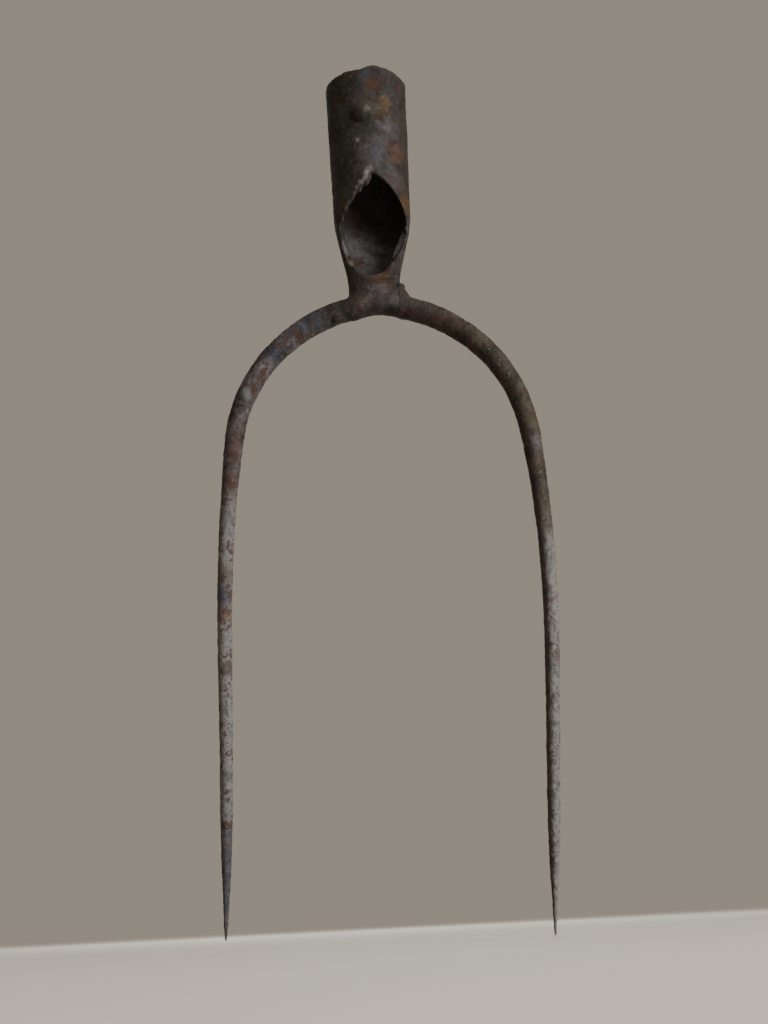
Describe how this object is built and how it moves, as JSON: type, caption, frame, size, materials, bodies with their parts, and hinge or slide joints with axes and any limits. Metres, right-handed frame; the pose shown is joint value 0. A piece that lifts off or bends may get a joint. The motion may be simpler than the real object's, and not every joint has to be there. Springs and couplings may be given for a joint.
{
  "type": "two-tine fork head",
  "caption": "Hand-forged fork head with a rolled handle socket, a pear-shaped throat opening and two arched round tines drawn out to points.",
  "frame": {"origin": "centre of the socket's mouth, on the bore's axis", "axes": "+Z along the socket's bore and out of its mouth, +X across the tines to the right one seen from the open throat's side, +Y to the back, away from the throat opening and the rivet head"},
  "size_m": [0.1516, 0.0523, 0.3805],
  "materials": {
    "socket_iron": "dark brown rust with ochre patches",
    "weld_iron": "lumpy hammered surface with grey-brown rust",
    "tine_iron": "pitted grey scale with red-brown rust",
    "rivet_iron": "hammered dome, grey-brown rust"
  },
  "bodies": {
    "root": {"socket": "socket_iron", "crotch_weld": "weld_iron", "left_tine": "tine_iron", "right_tine": "tine_iron", "handle_rivet": "rivet_iron"}
  },
  "joints": []
}
